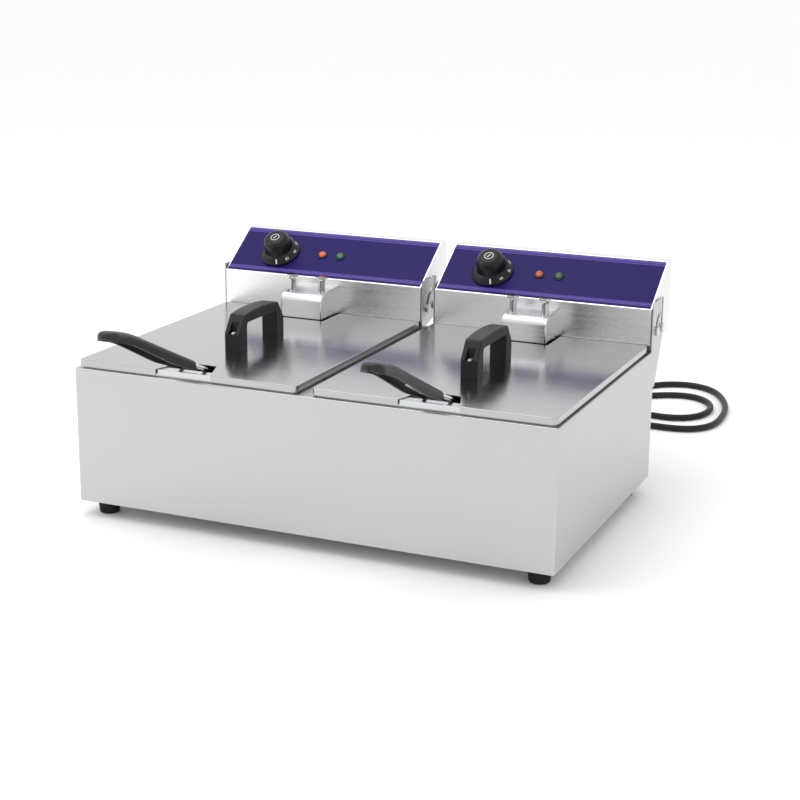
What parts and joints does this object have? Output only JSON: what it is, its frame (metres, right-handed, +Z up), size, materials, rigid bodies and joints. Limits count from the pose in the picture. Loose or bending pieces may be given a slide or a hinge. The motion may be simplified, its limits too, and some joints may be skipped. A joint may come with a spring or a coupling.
{
  "type": "deep fryer",
  "caption": "Countertop deep fryer with twin oil tanks, tilting control heads, lift-off lids and wire baskets with black grips.",
  "frame": {"origin": "on the surface that the feet stand on, below the middle of the fryer's outline without its cords", "axes": "+Z up, -Y towards the person who stands in front, +X to their right"},
  "size_m": [0.5903, 1.0188, 0.2804],
  "materials": {
    "cabinet_steel": "flat brushed",
    "tank_steel": "drawn and satin",
    "lid_steel": "brushed, half mirror",
    "head_steel": "bright brushed",
    "polished_steel": "polished",
    "element_steel": "dull tube",
    "fastener_steel": "zinc bright",
    "basket_wire": "plated wire",
    "panel_film": "printed film",
    "foot_rubber": "matt",
    "cord_black": "matt sheath",
    "plug_black": "moulded",
    "knob_black": "glossy moulded",
    "handle_black": "moulded",
    "grip_black": "moulded",
    "thermostat_black": "moulded",
    "ivory_plastic": "moulded",
    "brass": "turned",
    "copper": "drawn tube",
    "orange_lens": "moulded lens",
    "green_lens": "moulded lens"
  },
  "bodies": {
    "cabinet": {"cabinet_shell": "cabinet_steel", "rear_panel": "cabinet_steel", "base_plate": "cabinet_steel", "left_tank": "tank_steel", "right_tank": "tank_steel", "center_bracket": "cabinet_steel", "rubber_feet": "foot_rubber", "foot_screws": "fastener_steel", "left_cord": "cord_black", "right_cord": "cord_black", "left_cord_coil": "cord_black", "right_cord_coil": "cord_black", "left_plug": "plug_black", "right_plug": "plug_black"},
    "left_head": {"left_head_housing": "head_steel", "left_rear_cover": "head_steel", "left_rear_cover_screws": "fastener_steel", "left_control_panel": "panel_film", "left_riser_cover": "head_steel", "left_basket_posts": "polished_steel", "left_heating_element": "element_steel", "left_thermostat": "thermostat_black", "left_thermostat_bulb": "copper", "left_terminal_block": "ivory_plastic", "left_power_lamp": "orange_lens", "left_heat_lamp": "green_lens", "left_pivot_bolts": "fastener_steel", "left_cord_gland": "cord_black"},
    "left_knob": {"left_knob": "knob_black", "left_knob_spindle": "brass"},
    "left_guard": {"left_element_guard": "tank_steel"},
    "left_basket": {"left_basket_mesh": "basket_wire", "left_basket_frame": "basket_wire", "left_basket_grip": "grip_black"},
    "left_lid": {"left_lid_pan": "lid_steel", "left_lid_handle": "handle_black", "left_lid_handle_screws": "fastener_steel"},
    "right_head": {"right_head_housing": "head_steel", "right_rear_cover": "head_steel", "right_rear_cover_screws": "fastener_steel", "right_control_panel": "panel_film", "right_riser_cover": "head_steel", "right_basket_posts": "polished_steel", "right_heating_element": "element_steel", "right_thermostat": "thermostat_black", "right_thermostat_bulb": "copper", "right_terminal_block": "ivory_plastic", "right_power_lamp": "orange_lens", "right_heat_lamp": "green_lens", "right_pivot_bolts": "fastener_steel", "right_cord_gland": "cord_black"},
    "right_knob": {"right_knob": "knob_black", "right_knob_spindle": "brass"},
    "right_guard": {"right_element_guard": "tank_steel"},
    "right_basket": {"right_basket_mesh": "basket_wire", "right_basket_frame": "basket_wire", "right_basket_grip": "grip_black"},
    "right_lid": {"right_lid_pan": "lid_steel", "right_lid_handle": "handle_black", "right_lid_handle_screws": "fastener_steel"}
  },
  "joints": [
    {"name": "left_head_tilt", "type": "hinge", "parent": "cabinet", "child": "left_head", "pos_m": [-0.1462, 0.2275, 0.197], "axis": [-1, 0, 0], "range_deg": [0, 90]},
    {"name": "left_knob_turn", "type": "hinge", "parent": "left_head", "child": "left_knob", "pos_m": [-0.2192, 0.21956, 0.24671], "axis": [0, -0.5609, 0.8279], "range_deg": [-300, 0]},
    {"name": "left_guard_rise", "type": "slide", "parent": "cabinet", "child": "left_guard", "axis": [0, 0, 1], "range_m": [0, 0.57]},
    {"name": "left_basket_lift", "type": "slide", "parent": "left_guard", "child": "left_basket", "axis": [0, 0, 1], "range_m": [0, 0.16]},
    {"name": "left_lid_lift", "type": "slide", "parent": "left_basket", "child": "left_lid", "axis": [0, 0, 1], "range_m": [0, 0.1]},
    {"name": "right_head_tilt", "type": "hinge", "parent": "cabinet", "child": "right_head", "pos_m": [0.1462, 0.2275, 0.197], "axis": [-1, 0, 0], "range_deg": [0, 90]},
    {"name": "right_knob_turn", "type": "hinge", "parent": "right_head", "child": "right_knob", "pos_m": [0.0732, 0.21956, 0.24671], "axis": [0, -0.5609, 0.8279], "range_deg": [-300, 0]},
    {"name": "right_guard_rise", "type": "slide", "parent": "cabinet", "child": "right_guard", "axis": [0, 0, 1], "range_m": [0, 0.57]},
    {"name": "right_basket_lift", "type": "slide", "parent": "right_guard", "child": "right_basket", "axis": [0, 0, 1], "range_m": [0, 0.16]},
    {"name": "right_lid_lift", "type": "slide", "parent": "right_basket", "child": "right_lid", "axis": [0, 0, 1], "range_m": [0, 0.1]}
  ],
  "couplings": [
    {"joint": "left_guard_rise", "follows": "left_head_tilt", "m_per_rad": 0.36},
    {"joint": "right_guard_rise", "follows": "right_head_tilt", "m_per_rad": 0.36}
  ]
}
